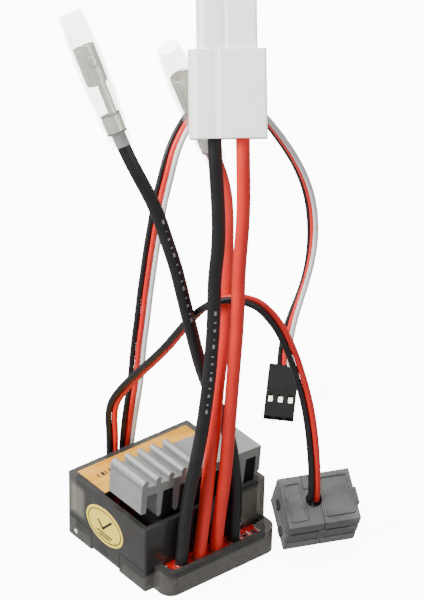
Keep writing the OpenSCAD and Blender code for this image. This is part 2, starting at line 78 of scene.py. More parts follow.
class Nodes:
    """A new material's node tree, with short calls for the nodes that the looks here need."""

    def __init__(self, name):
        self.material = bpy.data.materials.new(name)
        self.material.use_nodes = True
        self.tree = self.material.node_tree
        self.shader = self.tree.nodes["Principled BSDF"]
        self.output = self.tree.nodes["Material Output"]
        self.place = self.tree.nodes.new("ShaderNodeTexCoord").outputs["Object"]

    def link(self, a, b):
        self.tree.links.new(a, b)

    def stretched(self, scale):
        node = self.tree.nodes.new("ShaderNodeMapping")
        node.inputs["Scale"].default_value = scale
        self.link(self.place, node.inputs["Vector"])
        return node.outputs[0]

    def noise(self, scale, detail=3.0, stretch=None, distortion=0.0):
        node = self.tree.nodes.new("ShaderNodeTexNoise")
        node.inputs["Scale"].default_value = scale
        node.inputs["Detail"].default_value = detail
        node.inputs["Distortion"].default_value = distortion
        self.link(self.stretched(stretch) if stretch else self.place, node.inputs["Vector"])
        return node.outputs["Fac"]

    def ranged(self, source, low, high, start=0.3, end=0.7):
        node = self.tree.nodes.new("ShaderNodeMapRange")
        node.inputs["From Min"].default_value = start
        node.inputs["From Max"].default_value = end
        node.inputs["To Min"].default_value = low
        node.inputs["To Max"].default_value = high
        self.link(source, node.inputs["Value"])
        return node.outputs["Result"]

    def ramp(self, source, stops):
        node = self.tree.nodes.new("ShaderNodeValToRGB")
        elements = node.color_ramp.elements
        while len(elements) < len(stops):
            elements.new(0.5)
        for element, (at, colour) in zip(elements, stops):
            element.position = at
            element.color = (*colour, 1)
        self.link(source, node.inputs["Fac"])
        return node.outputs["Color"]

    def bump(self, source, strength, distance):
        node = self.tree.nodes.new("ShaderNodeBump")
        node.inputs["Strength"].default_value = strength
        node.inputs["Distance"].default_value = distance
        self.link(source, node.inputs["Height"])
        self.link(node.outputs["Normal"], self.shader.inputs["Normal"])

    def painted_light_box(self, colour, low, high, edge=1.6, pale=(0.2, 0.195, 0.16)):
        """The colour, mixed with a pale beige inside a soft-edged box, as painted light; corners
        and edge in mm.
        """
        apart = self.tree.nodes.new("ShaderNodeSeparateXYZ")
        self.link(self.place, apart.inputs[0])
        inside = None
        for i in range(3):
            for a, b in ((low[i], low[i] + edge), (high[i], high[i] - edge)):
                side = self.ranged(apart.outputs[i], 0, 1, a * MM, b * MM)
                if inside is None:
                    inside = side
                    continue
                times = self.tree.nodes.new("ShaderNodeMath")
                times.operation = "MULTIPLY"
                self.link(inside, times.inputs[0])
                self.link(side, times.inputs[1])
                inside = times.outputs[0]
        mix = self.tree.nodes.new("ShaderNodeMixRGB")
        self.link(inside, mix.inputs["Fac"])
        self.link(colour, mix.inputs["Color1"])
        mix.inputs["Color2"].default_value = (*pale, 1)
        return mix.outputs["Color"]

    def see_through(self, tint, share):
        """Mixes the shader over clear: share is the shader's part, a number or a socket."""
        clear = self.tree.nodes.new("ShaderNodeBsdfTransparent")
        clear.inputs["Color"].default_value = (*tint, 1)
        mix = self.tree.nodes.new("ShaderNodeMixShader")
        if isinstance(share, float):
            mix.inputs[0].default_value = share
        else:
            self.link(share, mix.inputs[0])
        self.link(clear.outputs[0], mix.inputs[1])
        self.link(self.shader.outputs[0], mix.inputs[2])
        self.link(mix.outputs[0], self.output.inputs["Surface"])

    def set(self, **values):
        for name, value in values.items():
            self.shader.inputs[name.replace("_", " ")].default_value = value


def scaled(colour, by):
    return tuple(min(1.0, c * by) for c in colour)


def moulded(name, colour, rough, spread=0.12, grain=2500, bump=0.15, relief=0.02 * MM, **sockets):
    """A moulded, painted or rubbery surface: slight colour clouds, fine grain, uneven gloss."""
    n = Nodes(name)
    clouds = n.noise(220, 4)
    fine = n.noise(grain, 3)
    tone = n.ramp(clouds, [(0.3, scaled(colour, 1 - spread)), (0.7, scaled(colour, 1 + spread))])
    n.link(tone, n.shader.inputs["Base Color"])
    n.link(n.ranged(fine, rough * 0.85, rough * 1.15), n.shader.inputs["Roughness"])
    n.bump(fine, bump, relief)
    n.set(**sockets)
    return n.material


def smoke_plastic(name, body, tint, share, rough=0.2, lit_boxes=()):
    """Smoke-tinted clear plastic: each face lets some light through, and the rest is a glossy grey.

    The boxes given (low corner, high corner) in mm get a pale beige mixed into the colour: painted
    light, where light shines through the wall and nothing dark is behind it.
    """
    n = Nodes(name)
    clouds = n.noise(160, 3, distortion=0.6)
    colour = n.ramp(clouds, [(0.3, scaled(body, 0.8)), (0.7, scaled(body, 1.25))])
    for low, high in lit_boxes:
        colour = n.painted_light_box(colour, low, high)
    n.link(colour, n.shader.inputs["Base Color"])
    fine = n.noise(1400, 2)
    n.link(n.ranged(fine, rough * 0.8, rough * 1.3), n.shader.inputs["Roughness"])
    n.bump(n.noise(420, 2), 0.12, 0.03 * MM)
    n.set(IOR=1.6)
    n.see_through(tint, share)
    return n.material


def clear_vinyl():
    """Soft clear sleeve, slightly milky, with moulding haze."""
    n = Nodes("clear_vinyl")
    haze = n.noise(160, 2)
    n.link(n.ramp(haze, [(0.3, (0.86, 0.86, 0.845)), (0.7, (0.93, 0.93, 0.92))]),
        n.shader.inputs["Base Color"])
    n.link(n.ranged(haze, 0.15, 0.25), n.shader.inputs["Roughness"])
    n.bump(n.noise(900, 2), 0.1, 0.03 * MM)
    n.set(IOR=1.5)
    n.see_through((0.95, 0.95, 0.94), n.ranged(haze, 0.15, 0.2))
    return n.material


def aluminium():
    """Satin extrusion: fine die lines along Y, a bead-blasted grain and slightly darker patches."""
    n = Nodes("aluminium_extrusion")
    lines = n.noise(900, 4, stretch=(1, 0.02, 1))
    grain = n.noise(3500, 3)
    patches = n.noise(120, 3)
    n.link(n.ramp(patches, [(0.3, (0.36, 0.37, 0.36)), (0.7, (0.44, 0.445, 0.43))]),
        n.shader.inputs["Base Color"])
    n.link(n.ranged(lines, 0.42, 0.58), n.shader.inputs["Roughness"])
    add = n.tree.nodes.new("ShaderNodeMath")
    n.link(lines, add.inputs[0])
    n.link(grain, add.inputs[1])
    n.bump(add.outputs[0], 0.3, 0.02 * MM)
    n.set(Metallic=0.6)
    return n.material


def metal(name, colour, rough=0.22, metallic=1.0):
    """Plated or soldered metal with small handling marks."""
    n = Nodes(name)
    marks = n.noise(1800, 4, distortion=1.0)
    n.link(n.ramp(marks, [(0.3, scaled(colour, 0.85)), (0.7, scaled(colour, 1.1))]),
        n.shader.inputs["Base Color"])
    n.link(n.ranged(marks, rough * 0.7, rough * 1.5), n.shader.inputs["Roughness"])
    n.bump(marks, 0.15, 0.03 * MM)
    n.set(Metallic=metallic)
    return n.material


def gold_label():
    """Orange-gold printed foil with faint marbled swirls."""
    n = Nodes("label_gold")
    swirl = n.noise(95, 5, stretch=(0.7, 1.6, 1), distortion=2.6)
    colours = [(0.3, (0.62, 0.25, 0.012)), (0.48, (0.72, 0.33, 0.025)), (0.6, (0.8, 0.42, 0.06)),
        (0.72, (0.5, 0.18, 0.01))]
    n.link(n.ramp(swirl, colours), n.shader.inputs["Base Color"])
    fibre = n.noise(1600, 4)
    n.link(n.ranged(fibre, 0.35, 0.5), n.shader.inputs["Roughness"])
    n.bump(fibre, 0.12, 0.02 * MM)
    n.set(Specular_IOR_Level=0.3)
    return n.material


def solder_mask():
    """Glossy red solder mask over copper, with faint routed traces showing through."""
    n = Nodes("board_red")
    traces = n.noise(420, 1, stretch=(1, 0.35, 1))
    n.link(n.ramp(traces, [(0.45, (0.62, 0.012, 0.01)), (0.5, (0.74, 0.02, 0.014)),
        (0.55, (0.66, 0.014, 0.01))]), n.shader.inputs["Base Color"])
    n.link(n.ranged(n.noise(1500, 2), 0.2, 0.34), n.shader.inputs["Roughness"])
    n.bump(traces, 0.25, 0.03 * MM)
    return n.material


SILICONE = {
    "black": moulded("silicone_black", (0.012, 0.012, 0.013), 0.42, 0.25, 1800, 0.3),
    "red": moulded("silicone_red", (0.9, 0.035, 0.022), 0.45, 0.06, 1800, 0.25),
}
CORE_VINYL = {
    "black": moulded("vinyl_black", (0.014, 0.014, 0.015), 0.4, 0.25, 2200, 0.2),
    "red": moulded("vinyl_red", (0.82, 0.028, 0.02), 0.4, 0.06, 2200, 0.2),
    "white": moulded("vinyl_white", (0.8, 0.8, 0.79), 0.4, 0.04, 2200, 0.15),
}
SMOKE_BODY, SMOKE_TINT, SMOKE_SHARE = (0.052, 0.051, 0.048), (0.45, 0.435, 0.4), 0.83
SMOKE = smoke_plastic("smoke_plastic", SMOKE_BODY, SMOKE_TINT, SMOKE_SHARE)
# Painted light: two boxes of the cover, at its front right and left rear, are coloured pale beige
# where light shines through the wall.
COVER_SMOKE = smoke_plastic("smoke_plastic_cover", SMOKE_BODY, SMOKE_TINT, SMOKE_SHARE, lit_boxes=[
    ((8.5, -14, 6.2), (17.2, -9, 17)), ((-20, 10.8, 6.5), (-15, 17.4, 16.2))])
SWITCH_SMOKE = smoke_plastic("smoke_plastic_switch", (0.095, 0.095, 0.094), (0.6, 0.6, 0.59),
    0.9, 0.17)
ALUMINIUM = aluminium()
# Dark grey, for a strip of painted shade where the heatsink has a thin groove.
GROOVE_SHADE = metal("aluminium_shade", (0.13, 0.13, 0.13), 0.5, 0.6)
EPOXY = moulded("black_epoxy", (0.008, 0.008, 0.009), 0.42, 0.3, 2600, 0.35, Specular_IOR_Level=0.3)
BLACK_NYLON = moulded("black_nylon", (0.007, 0.007, 0.007), 0.45, 0.3, 2600, 0.3,
    Specular_IOR_Level=0.12)
# The white nylon glows faintly: painted light that brightens the battery plug.
GLOWING_NYLON = moulded("nylon_white", (0.93, 0.925, 0.895), 0.3, 0.03, 900, 0.12,
    Subsurface_Weight=0.4, Subsurface_Radius=(1, 0.9, 0.75), Subsurface_Scale=2 * MM,
    Emission_Color=(1, 0.99, 0.95, 1), Emission_Strength=0.45)
VINYL = clear_vinyl()
TIN = metal("tinned_metal", (0.72, 0.72, 0.72))
# The solder is tinted red: a painted reflection of the red board round the lead bases.
RED_TINTED_SOLDER = metal("solder_red_reflection", (0.5, 0.09, 0.07), 0.2, 0.5)
BRASS = metal("tinned_brass", (0.97, 0.93, 0.78), 0.15, 0.75)
CONTACT = metal("contact_gold", (0.85, 0.78, 0.6), 0.25)
LABEL = gold_label()
STICKER = moulded("label_yellow", (0.95, 0.72, 0.1), 0.42, 0.05, 1400, 0.12)
INK = moulded("print_black", (0.015, 0.014, 0.013), 0.5, 0.2)
WHITE_INK = moulded("print_white", (0.75, 0.75, 0.74), 0.5, 0.08)
GREY_INK = moulded("print_grey", (0.3, 0.3, 0.31), 0.5, 0.15)
BOARD = solder_mask()
CAPACITOR = moulded("capacitor_sleeve", (0.012, 0.016, 0.06), 0.25, 0.2)
CERAMIC = moulded("ceramic_parts", (0.35, 0.26, 0.15), 0.5, 0.15)
# Near black: the dark joints of the housing, and painted shade at the ends of the bullets' crimps.
JOINT_AND_SHADE = moulded("dark_joints_and_shade", (0.004, 0.004, 0.004), 0.7, 0.3)

# ---- mesh helpers

ROUNDED_ANGLE = math.radians(35)
SHARP_ANGLE = math.radians(38)


def placed(at, turn):
    """The place of a connector, as in the CAD source: roll about Y, lean about X, turn about Z."""
    x, y, z = (math.radians(a) for a in turn)
    return (Matrix.Translation(Vector(at) * MM) @ Matrix.Rotation(z, 4, "Z")
        @ Matrix.Rotation(x, 4, "X") @ Matrix.Rotation(y, 4, "Y"))


def round_edges(obj, bevel, segments=2):
    """Rounds an object's edges with modifiers and shades it smoothly between them."""
    m = obj.modifiers.new("round", "BEVEL")
    m.width = bevel * MM
    m.segments = segments
    m.limit_method = "ANGLE"
    m.angle_limit = ROUNDED_ANGLE
    m.harden_normals = False
    m = obj.modifiers.new("normals", "WEIGHTED_NORMAL")
    m.keep_sharp = True


def piece(name, verts, faces, material, slot, at=Matrix(), bevel=0.0, segments=2, replaces=()):
    """A mesh piece of the fixed body, from points in millimetres, placed by the matrix at."""
    mesh = bpy.data.meshes.new(name)
    mesh.from_pydata([tuple(at @ (Vector(v) * MM)) for v in verts], [], faces)
    bm = bmesh.new()
    bm.from_mesh(mesh)
    bmesh.ops.recalc_face_normals(bm, faces=bm.faces)
    for face in bm.faces:
        face.smooth = True
    for edge in bm.edges:
        if len(edge.link_faces) == 2 and edge.calc_face_angle(0) > SHARP_ANGLE:
            edge.smooth = False
    bm.to_mesh(mesh)
    bm.free()
    mesh.materials.append(material)
    obj = bpy.data.objects.new(name, mesh)
    bpy.context.scene.collection.objects.link(obj)
    if bevel:
        round_edges(obj, bevel, segments)
    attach(obj, "root")
    if replaces:
        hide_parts(*replaces)
    return obj


def box_data(a, b):
    """Points and faces of a box from corner a to corner b."""
    verts = [(x, y, z) for z in (a[2], b[2]) for y in (a[1], b[1]) for x in (a[0], b[0])]
    faces = [(0, 2, 3, 1), (4, 5, 7, 6), (0, 1, 5, 4), (2, 6, 7, 3), (0, 4, 6, 2), (1, 3, 7, 5)]
    return verts, faces


def joined(parts):
    """Several (points, faces) as one."""
    verts, faces = [], []
    for v, f in parts:
        faces += [tuple(i + len(verts) for i in face) for face in f]
        verts += list(v)
    return verts, faces


def moved(part, x=0.0, y=0.0, z=0.0):
    """A (points, faces) part, moved."""
    verts, faces = part
    return [(a + x, b + y, c + z) for a, b, c in verts], faces


def ring_data(outer, inner, z0, z1):
    """A closed flat ring between two outlines with as many (x, y) points, from z0 up to z1."""
    n = len(outer)
    verts = [(x, y, z) for z in (z0, z1) for ring in (outer, inner) for x, y in ring]
    faces = []
    for i in range(n):
        j = (i + 1) % n
        faces += [(i, j, 2 * n + j, 2 * n + i), (n + i, 3 * n + i, 3 * n + j, n + j),
            (2 * n + i, 2 * n + j, 3 * n + j, 3 * n + i), (i, n + i, n + j, j)]
    return verts, faces


def extruded(outline, z0, z1):
    """A closed outline of (x, y) points from z0 up to z1."""
    n = len(outline)
    verts = [(x, y, z0) for x, y in outline] + [(x, y, z1) for x, y in outline]
    faces = [tuple(range(n - 1, -1, -1)), tuple(range(n, 2 * n))]
    faces += [(i, (i + 1) % n, n + (i + 1) % n, n + i) for i in range(n)]
    return verts, faces


def lathed(profile, n=40):
    """A closed profile of (radius, z) points turned about Z."""
    verts, faces = [], []
    for i in range(n):
        a = 2 * math.pi * i / n
        verts += [(r * math.cos(a), r * math.sin(a), z) for r, z in profile]
    m = len(profile)
    for i in range(n):
        a, b = i * m, (i + 1) % n * m
        faces += [(a + k, b + k, b + (k + 1) % m, a + (k + 1) % m) for k in range(m)]
    return verts, faces


def arc_wall(r0, r1, start, end, z0, z1, n):
    """Part of a tube's wall, from angle start to end in degrees."""
    angles = [math.radians(start + (end - start) * i / n) for i in range(n + 1)]
    outline = [(r1 * math.cos(a), r1 * math.sin(a)) for a in angles]
    outline += [(r0 * math.cos(a), r0 * math.sin(a)) for a in reversed(angles)]
    return extruded(outline, z0, z1)


def rounded_rect(x0, y0, x1, y1, r, n=6):
    """The outline of a rectangle with corners of radius r."""
    points = []
    for cx, cy, start in ((x1 - r, y1 - r, 0), (x0 + r, y1 - r, 90), (x0 + r, y0 + r, 180),
            (x1 - r, y0 + r, 270)):
        points += [(cx + r * math.cos(math.radians(start + 90 * i / n)),
            cy + r * math.sin(math.radians(start + 90 * i / n))) for i in range(n + 1)]
    return points


def stroke(points, width, height):
    """A flat ribbon of the given width along (x, y) points, from z 0 up to height."""
    parts = []
    for (x0, y0), (x1, y1) in zip(points, points[1:]):
        d = Vector((x1 - x0, y1 - y0)).normalized() * width / 2
        outline = [(x0 - d.x - d.y, y0 - d.y + d.x), (x0 - d.x + d.y, y0 - d.y - d.x),
            (x1 + d.x + d.y, y1 + d.y - d.x), (x1 + d.x - d.y, y1 + d.y + d.x)]
        parts.append(extruded(outline, 0, height))
    return joined(parts)


def dress(node, material, bevel=0.0):
    """Gives a CAD node its material, and rounds its edges with modifiers."""
    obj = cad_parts[node]
    obj.data.materials.clear()
    obj.data.materials.append(material)
    if bevel:
        weld = obj.modifiers.new("weld", "WELD")
        weld.merge_threshold = 0.002 * MM
        round_edges(obj, bevel)


# ---- leads: the same routes as the CAD tubes

POWER_D = 3.1
SERVO_D = 1.3
SWITCH_D = 1.5
battery_black_route = [[-9.3, -14.9, 5.5], [-8.5, -14.5, 12.5], [-7.5, -14, 19.5], [-6, -14, 26.5],
    [-5, -14.5, 33.5], [-4, -15, 40.5], [-3.5, -15.5, 47.5], [-2.5, -15.5, 55], [-2.5, -16, 62],
    [-2, -16, 69], [-2, -16, 76], [-2, -16, 83], [-1.5, -16.5, 89.5], [-1.5, -16.5, 96.5],
    [-2, -16.5, 103.5], [-2.4, -16, 111], [-1.4, -14.1, 119.5]]
battery_red_route = [[1.1, -14.9, 5.5], [1.5, -15, 12.5], [2, -15.5, 19.5], [2.5, -16, 27],
    [2.5, -16.5, 34.5], [2.5, -17, 41.5], [2.5, -17.5, 49], [2.5, -18, 56], [2.5, -18.5, 63.5],
    [2.5, -19, 70.5], [2.5, -19, 77], [2.5, -19, 84], [2.5, -19.5, 90.5], [2.5, -20, 97],
    [2.5, -20, 103.5], [2.3, -19.8, 111], [3.4, -18, 119.5]]
motor_red_route = [[-4.1, -14.9, 5.5], [-3, -14.6, 11.5], [-2, -14.3, 18], [-1, -13.9, 25],
    [0, -13.5, 31.5], [1, -13.5, 38.5], [1.5, -13.3, 45], [2.5, -12.7, 51.5], [3.5, -12.5, 58],
    [4.5, -12.2, 64.5], [5, -11.8, 71], [5.5, -11.1, 77.5], [6.2, -10.1, 84], [7.2, -8.8, 90],
    [8.5, -6.7, 95], [8.6, -4.7, 100], [6, -3.5, 107.6]]
motor_black_route = [[6.3, -14.9, 5.5], [7, -14.5, 12], [7.5, -14, 19.5], [7, -13.5, 26.5],
    [6.5, -12.5, 33.5], [5, -11, 40.5], [2.5, -9.5, 47], [0.5, -8.5, 54], [-1.5, -8.5, 61.5],
    [-3, -8, 68.5], [-4.5, -7.5, 75.5], [-5.5, -6.5, 82], [-7, -5, 88.5], [-8.3, -3.7, 95],
    [-10.6, -1.8, 101.8], [-13.1, 0.6, 108.4], [-14.2, 4.6, 115.6]]
servo_route = [[0.7, 15, 10.2], [0.7, 19, 10.8], [0.8, 20, 14.5], [1.5, 20, 20], [2.3, 20, 26],
    [3.5, 20, 32], [4.5, 20.5, 38], [5, 20.5, 44], [6, 20.5, 50], [7, 21, 56], [8, 21, 62],
    [9.3, 21.5, 68], [10.5, 21.5, 74], [12, 22, 80], [14, 22, 86], [16, 22.5, 92],
    [20, 23, 97], [25, 24, 100], [31.5, 25, 99.5], [38, 26, 96.5], [45, 27.5, 91],
    [51, 28.5, 83.5], [57, 30, 75.5], [62.5, 31, 67], [66.5, 31.5, 58], [68.5, 32, 49],
    [68.5, 32, 40], [66.5, 32, 31.5], [63, 31.9, 24], [60.9, 32.2, 16.5], [59.9, 31.2, 8.9]]
servo_side = [[1, 0, 0], [1, 0, 0], [1, -0.2, 0], [0.9, -0.4, 0], [0.8, -0.6, 0],
    [0.8, -0.6, 0], [0.8, -0.6, 0], [0.8, -0.6, 0], [0.8, -0.6, 0], [0.8, -0.6, 0], [0.8, -0.6, 0],
    [0.8, -0.6, 0], [0.8, -0.6, 0], [0.7, -0.7, 0], [0.6, -0.8, 0], [0.4, -0.9, 0],
    [0.2, -1, 0], [0.2, -1, 0], [0.2, -1, 0], [0.2, -1, 0], [0.2, -1, 0],
    [0.2, -1, 0], [0.2, -1, 0], [0.1, -1, 0], [0.1, -1, 0], [0, -1, 0],
    [-0.2, -1, 0], [-0.5, -0.9, 0], [-0.2, -1, 0], [0.3, -0.9, 0], [0.6, -0.8, 0]]
switch_route = [[-3.6, 15, 10.2], [-3.4, 19, 10.8], [-3, 20.5, 15], [-2.8, 20.5, 21],
    [-3.3, 20.5, 26], [-3.5, 19.5, 30.5], [-2.8, 17, 35], [-2, 13.5, 40], [-1.5, 9.5, 45],
    [-1, 5.5, 50], [-0.8, 1.8, 54.8], [-0.5, -1.4, 59.6], [-0.3, -4.7, 64.4], [-0.1, -8.3, 69],
    [0.5, -12, 73], [2.5, -15, 74.8], [5.5, -17, 74.5], [8.5, -18.5, 73], [11, -19.5, 70],
    [13.5, -20.5, 66], [15.5, -21.5, 61], [17.5, -22, 55.5], [19, -22.5, 50], [20.4, -23, 44.5],
    [21.4, -23.4, 39], [22.1, -23.7, 33.5], [22.5, -24, 28.5], [22.8, -24.2, 24], [23.1, -24, 20],
    [23.7, -23.4, 16.2], [24.5, -22.3, 13.8]]
switch_side = [[1, 0, 0], [1, 0, 0], [1, -0.3, 0], [0.9, -0.5, 0],
    [0.8, -0.6, 0], [0.8, -0.5, -0.2], [0.8, -0.2, -0.5], [0.7, 0, -0.7], [0.6, 0.1, -0.8],
    [0.6, 0.1, -0.8], [0.6, 0.1, -0.8], [0.6, 0.1, -0.8], [0.6, 0.2, -0.7], [0.6, 0.4, -0.6],
    [0.5, 0.6, -0.5], [0.5, 0.7, -0.2], [0.6, 0.7, 0.2], [0.7, 0.5, 0.5], [0.8, 0.1, 0.6],
    [0.8, -0.1, 0.6], [0.8, -0.3, 0.4], [0.8, -0.4, 0.3], [0.8, -0.5, 0.2], [0.8, -0.6, 0.1],
    [0.8, -0.6, 0], [0.8, -0.6, 0], [0.9, -0.5, 0], [0.9, -0.4, 0], [0.9, -0.4, 0],
    [0.92, -0.38, 0], [0.91, -0.41, 0.03]]


def smoothed(points, steps=6):
    """A cubic B-spline in metres that follows points in mm: it ends on them and evens out bends."""
    p = [Vector(q) * MM for q in points]
    p = [p[0] * 2 - p[1]] + p + [p[-1] * 2 - p[-2]]
    line = []
    for a, b, c, d in zip(p, p[1:], p[2:], p[3:]):
        for i in range(steps):
            t = i / steps
            line.append((a * (1 - t) ** 3 + b * (3 * t ** 3 - 6 * t * t + 4)
                + c * (-3 * t ** 3 + 3 * t * t + 3 * t + 1) + d * t ** 3) / 6)
    return line + [p[-2]]


def beside(route, sides, offset):
    """The route of a ribbon's core, offset along each point's sideways direction."""
    return [Vector(p) + Vector(s).normalized() * offset for p, s in zip(route, sides)]


def lead(name, node, route, d, material):
    """A round lead along its smoothed route, in place of the CAD node."""
    curve = bpy.data.curves.new(name, "CURVE")
    curve.dimensions = "3D"
    curve.bevel_depth = d / 2 * MM
    curve.bevel_resolution = 6
    curve.use_fill_caps = True
    line = smoothed(route)
    spline = curve.splines.new("POLY")
    spline.points.add(len(line) - 1)
    for point, at in zip(spline.points, line):
        point.co = (*at, 1)
    spline.use_smooth = True
    curve.materials.append(material)
    obj = bpy.data.objects.new(name, curve)
    bpy.context.scene.collection.objects.link(obj)
    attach(obj, "root")
    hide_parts(node)
    return obj


# each ribbon's cores, by their place across it in core widths
SERVO_CORES = {"black": -1, "red": 0, "white": 1}
SWITCH_CORES = {"black": -0.5, "red": 0.5}

for role, colour, route in (("battery", "black", battery_black_route),
        ("battery", "red", battery_red_route), ("motor", "red", motor_red_route),
        ("motor", "black", motor_black_route)):
    name = f"lead_{role}_{colour}"
    lead(name, f"{role}_lead_{colour}", route, POWER_D, SILICONE[colour])
for role, cores, route, side, d in (("servo", SERVO_CORES, servo_route, servo_side, SERVO_D),
        ("switch", SWITCH_CORES, switch_route, switch_side, SWITCH_D)):
    for colour, place in cores.items():
        name = f"lead_{role}_{colour}"
        lead(name, f"{role}_core_{colour}", beside(route, side, place * d), d,
            CORE_VINYL[colour])


def dashes(name, route, start, count, pitch, towards):
    """Short printed dashes on a power lead, in a row on the side that faces towards.

    The first dash is at start along the lead, and the next ones follow at the pitch, all in mm.
    """
    lengths = (1.2, 0.5, 0.8, 0.5)
    radii = (POWER_D / 2 - 0.03, POWER_D / 2 + 0.025)
    half = math.radians(10)
    line = smoothed(route, 40)
    along = [0.0]
    for a, b in zip(line, line[1:]):
        along.append(along[-1] + (b - a).length / MM)
    parts = []
    for k in range(count):
        low = start + k * pitch
        high = low + lengths[k % 4]
        rows = [i for i, s in enumerate(along) if low <= s <= high]
        rows = rows[::max(1, len(rows) // 6)]
        if len(rows) < 2:
            continue
        verts = []
        for i in rows:
            t = (line[i + 1] - line[i - 1]).normalized()
            out = (Vector(towards) - Vector(towards).dot(t) * t).normalized()
            side = t.cross(out)
            for r in radii:
                for a in (-half, 0, half):
                    p = line[i] / MM + (out * math.cos(a) + side * math.sin(a)) * r
                    verts.append(tuple(p))
        # each row has 6 points, three inside and three outside; loop goes once round them
        loop = (0, 1, 2, 5, 4, 3)
        last = 6 * (len(rows) - 1)
        faces = [(i + k0, i + k1, i + 6 + k1, i + 6 + k0) for i in range(0, last, 6)
            for k0, k1 in zip(loop, loop[1:] + loop[:1])]
        faces += [tuple(reversed(loop)), tuple(last + k0 for k0 in loop)]
        parts.append((verts, faces))
    return piece(name, *joined(parts), GREY_INK, "silicone_black")


dashes("print_battery_black", battery_black_route, 42, 13, 2.2, (-0.35, -0.8, 0.5))
dashes("print_motor_black", motor_black_route, 64, 13, 2.2, (-0.2, -0.9, 0.4))
dashes("print_motor_black_base", motor_black_route, 1.5, 4, 1.6, (0.5, -0.8, 0.2))

# ---- connectors

LEFT_BULLET = placed([-13.8, 2.4, 111.6], [-20.4, -22.2, -39])
REAR_BULLET = placed([7.3, -4.1, 103.9], [5.1, -20.1, -39])
SWITCH = placed([26.2, -22.8, 0.35], [30.6, -2, -23.2])
SLEEVE_L = 31.5
# where the socket's neck and its lance window stand about the sleeve's axis, in degrees
NECK_TURN = -60
WINDOW_TURN = -68


def bullet(name, at, sleeve_node, socket_node):
    """A clear sleeve over a rolled socket: barrel with a lance window, neck, and crimp, with rings
    of painted shade at the crimp's ends.
    """
    outer = [(2.4, 0.15), (2.55, 3.5), (2.7, 4.3), (2.9, 5.2), (2.95, 9), (3.05, 10), (3.3, 12),
        (3.38, 14), (3.4, 20), (3.28, 24), (3.1, 27), (2.72, SLEEVE_L - 0.6), (2.6, SLEEVE_L - 0.1)]
    inner = [(2.45, SLEEVE_L), (2.25, SLEEVE_L - 0.1), (2.7, 27), (2.9, 20), (2.85, 12.5),
        (2.45, 9.5), (2.4, 4.8), (1.75, 3.2), (1.66, 0.1), (2.2, 0)]
    sleeve = piece(name + "_clear_sleeve", *lathed(outer + inner, 56), VINYL, "clear_vinyl", at,
        replaces=[sleeve_node])
    # the barrel is rolled from sheet: a seam, a window with its lance, and a rounded lower end
    r0, r1 = 2.0, 2.42
    bottom, window_low, window_high, top = 15.2, 18.6, 21.4, 23.7
    left, right = WINDOW_TURN - 26, WINDOW_TURN + 26
    seam = left - 22
    barrel = [
        arc_wall(r0, r1, seam + 2, left, bottom, top, 4),
        arc_wall(r0, r1, left, right, bottom, window_low, 8),
        arc_wall(r0, r1, left, right, window_high, top, 8),
        arc_wall(r0, r1, right, seam + 358, bottom, top, 44),
        arc_wall(2.3, 2.6, left + 8, right - 8, window_low + 0.3, window_high - 0.2, 6),
        lathed([(r1, bottom), (r0, bottom), (1.2, 14.75), (1.3, 14.5), (2.25, 14.85)], 40),
    ]
    neck = [
        arc_wall(1.75, 2.15, NECK_TURN - 30, NECK_TURN + 30, 7.2, 14.9, 8),
        arc_wall(1.4, 1.8, NECK_TURN - 34, NECK_TURN - 28, 7.6, 14.2, 2),
        arc_wall(1.4, 1.8, NECK_TURN + 28, NECK_TURN + 34, 7.6, 14.2, 2),
    ]
    crimp = lathed([(1.62, 3.5), (2.1, 3.5), (2.16, 3.9), (2.16, 6.9), (2.1, 7.3), (1.62, 7.3)], 40)
    socket = piece(name + "_terminal", *joined(barrel + neck + [crimp]), BRASS, "brass", at,
        bevel=0.06, segments=1, replaces=[socket_node])
    # Dark rings just below and just above the crimp: painted shade in the gaps at its ends.
    shade_bands = [lathed([(1.9, z), (2.2, z), (2.2, z + 0.4), (1.9, z + 0.4)], 40) for z in (3.1, 7.3)]
    crimp_shade = piece(name + "_crimp_shade", *joined(shade_bands), JOINT_AND_SHADE, "brass", at)
    return [sleeve, socket, crimp_shade]


left_bullet = bullet("left_bullet", LEFT_BULLET, "left_bullet_sleeve", "left_bullet_socket")
rear_bullet = bullet("rear_bullet", REAR_BULLET, "rear_bullet_sleeve", "rear_bullet_socket")

dress("battery_plug_housing", GLOWING_NYLON, 0.3)
dress("battery_plug_latch", GLOWING_NYLON, 0.2)
dress("battery_plug_pins", BRASS)
dress("servo_plug_housing", BLACK_NYLON, 0.18)
dress("servo_plug_contacts", CONTACT, 0.08)

# ---- switch box

dress("switch_shell_left", SWITCH_SMOKE, 0.15)
dress("switch_shell_right", SWITCH_SMOKE, 0.15)


def framed(x0, y0, x1, y1, z, rise, rim=0.55):
    """A low raised frame with round corners round a panel."""
    outer = rounded_rect(x0, y0, x1, y1, 0.7)
    inner = rounded_rect(x0 + rim, y0 + rim, x1 - rim, y1 - rim, 0.45)
    return ring_data(outer, inner, z - 0.1, z + rise)


def switch_trim():
    """Frames round the box's top panels, its clip on the right and its snap bumps on the left."""
    top = 12.4
    parts = [
        framed(0.5, 1.6, 8.0, 12.2, top, 0.3),
        framed(-8.1, 1.4, -3.6, 11.6, top, 0.24),
        extruded(rounded_rect(-3.2, 9.4, -0.4, 12.6, 0.4), top - 0.1, top + 0.3),
        box_data((8.6, 4.2, 8.6), (9.5, 8.4, 12.0)),
        box_data((8.6, 3.8, 7.6), (9.2, 8.8, 8.9)),
        box_data((-1.1, -0.12, 3.4), (0.9, 1.0, 9.0)),
        box_data((-9.2, 3.0, 1.0), (-8.6, 5.0, 3.2)),
        box_data((-9.2, 8.0, 5.2), (-8.6, 10.0, 7.4)),
    ]
    return piece("switch_panels", *joined(parts), SWITCH_SMOKE, "smoke_plastic", SWITCH, bevel=0.12)


